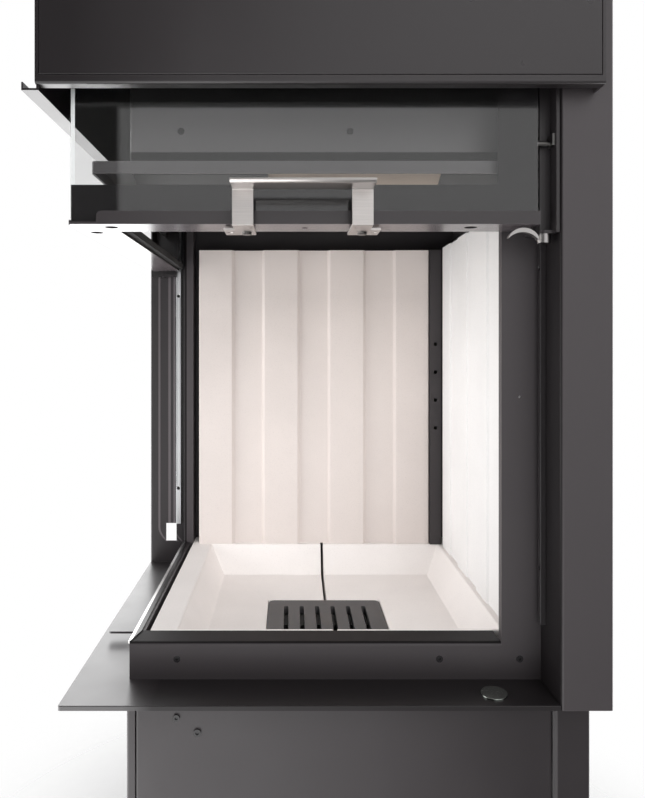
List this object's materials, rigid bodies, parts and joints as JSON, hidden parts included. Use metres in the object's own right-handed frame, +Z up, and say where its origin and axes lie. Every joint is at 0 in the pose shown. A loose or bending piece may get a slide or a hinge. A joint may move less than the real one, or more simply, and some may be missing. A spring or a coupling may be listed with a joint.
{
  "type": "corner fireplace insert with lifting glass door",
  "caption": "Wood-burning fireplace insert with an L-shaped glass door that lifts into a hood, ribbed fireclay lining, bowl hearth with grate, and a cover under the flange.",
  "frame": {"origin": "centre of the overall box's footprint, on the floor under the levelling feet", "axes": "+X to the right when facing the front glass, +Y from the front to the back (the air spigot's direction), +Z up along the flue"},
  "size_m": [0.585, 0.612, 1.542],
  "materials": {
    "graphite_housing": "satin",
    "graphite_frame": "matte",
    "bare_sheet": "satin",
    "stainless_strip": "brushed",
    "bright_rail": "satin",
    "pane": "gloss",
    "fireclay": "matte",
    "board": "matte",
    "iron": "matte",
    "rope_seal": "matte",
    "steel_cable": "satin",
    "fasteners": "satin",
    "wheels": "matte",
    "feet": "matte",
    "plate": "gloss"
  },
  "bodies": {
    "insert": {"base_front_cover": "graphite_housing", "base_left_side": "graphite_housing", "base_right_side": "graphite_housing", "base_back": "graphite_housing", "levelling_feet": "feet", "air_intake_spigot": "bare_sheet", "hearth_flange": "graphite_frame", "firebox_floor": "graphite_frame", "ash_pan": "graphite_frame", "hearth_left": "fireclay", "hearth_right": "fireclay", "lining_back": "fireclay", "lining_right": "fireclay", "back_wall": "graphite_frame", "right_wall": "graphite_frame", "front_frame": "graphite_frame", "rear_jamb": "graphite_frame", "sill_side": "graphite_frame", "sill_trim": "bare_sheet", "header": "graphite_frame", "lintel": "graphite_frame", "baffle": "board", "ceiling_plates": "graphite_frame", "smoke_dome": "graphite_frame", "flue_collar": "graphite_frame", "corner_air_profile": "graphite_frame", "post_right": "graphite_housing", "post_left": "graphite_housing", "guide_rails": "bright_rail", "hood_front": "graphite_housing", "hood_front_cover": "graphite_housing", "hood_left_side": "graphite_housing", "hood_top": "graphite_housing", "right_side_panel": "graphite_housing", "rear_cover": "graphite_housing", "pulley_brackets": "bare_sheet", "cable_top_runs": "steel_cable", "badge_plate": "plate", "housing_screws": "fasteners"},
    "door": {"door_front_glass": "pane", "door_side_glass": "pane", "door_bottom_frame": "graphite_frame", "door_top_frame": "graphite_frame", "door_end_stiles": "graphite_frame", "door_carriages": "bright_rail", "door_rollers": "wheels", "door_fasteners": "fasteners", "door_handle": "stainless_strip", "door_seals": "rope_seal", "cable_front_runs": "steel_cable"},
    "counterweight": {"counterweight": "graphite_frame", "counterweight_hanger": "bare_sheet", "cable_rear_runs": "steel_cable"},
    "front_pulley": {"front_pulley": "wheels"},
    "rear_wheels": {"rear_pulleys": "wheels", "rear_shaft": "bright_rail"},
    "lock_lever": {"lock_lever": "bright_rail"},
    "air_control": {"air_control_slider": "graphite_frame"},
    "grate": {"grate": "iron"}
  },
  "joints": [
    {"name": "door_lift", "type": "slide", "parent": "insert", "child": "door", "axis": [0, 0, 1], "range_m": [-0.463, 0], "deforming": ["cable_front_runs"]},
    {"name": "counterweight_slide", "type": "slide", "parent": "insert", "child": "counterweight", "axis": [0, 0, 1], "range_m": [0, 0.463], "deforming": ["cable_rear_runs"]},
    {"name": "front_pulley_spin", "type": "hinge", "parent": "insert", "child": "front_pulley", "pos_m": [0.2313, -0.2245, 1.465], "axis": [1, 0, 0], "continuous": true},
    {"name": "rear_wheels_spin", "type": "hinge", "parent": "insert", "child": "rear_wheels", "pos_m": [0.2313, 0.2513, 1.465], "axis": [1, 0, 0], "continuous": true},
    {"name": "lock_lever_turn", "type": "hinge", "parent": "door", "child": "lock_lever", "pos_m": [0.2283, -0.24, 0.849], "axis": [0, 0, 1], "range_deg": [0, 90]},
    {"name": "air_slide", "type": "slide", "parent": "insert", "child": "air_control", "axis": [0, 1, 0], "range_m": [-0.04, 0.06]},
    {"name": "grate_lift", "type": "slide", "parent": "insert", "child": "grate", "axis": [0, 0, 1], "range_m": [0, 0.08]}
  ],
  "couplings": [
    {"joint": "counterweight_slide", "follows": "door_lift", "ratio": -1},
    {"joint": "front_pulley_spin", "follows": "door_lift", "rad_per_m": -48.781},
    {"joint": "rear_wheels_spin", "follows": "door_lift", "rad_per_m": -48.781}
  ]
}
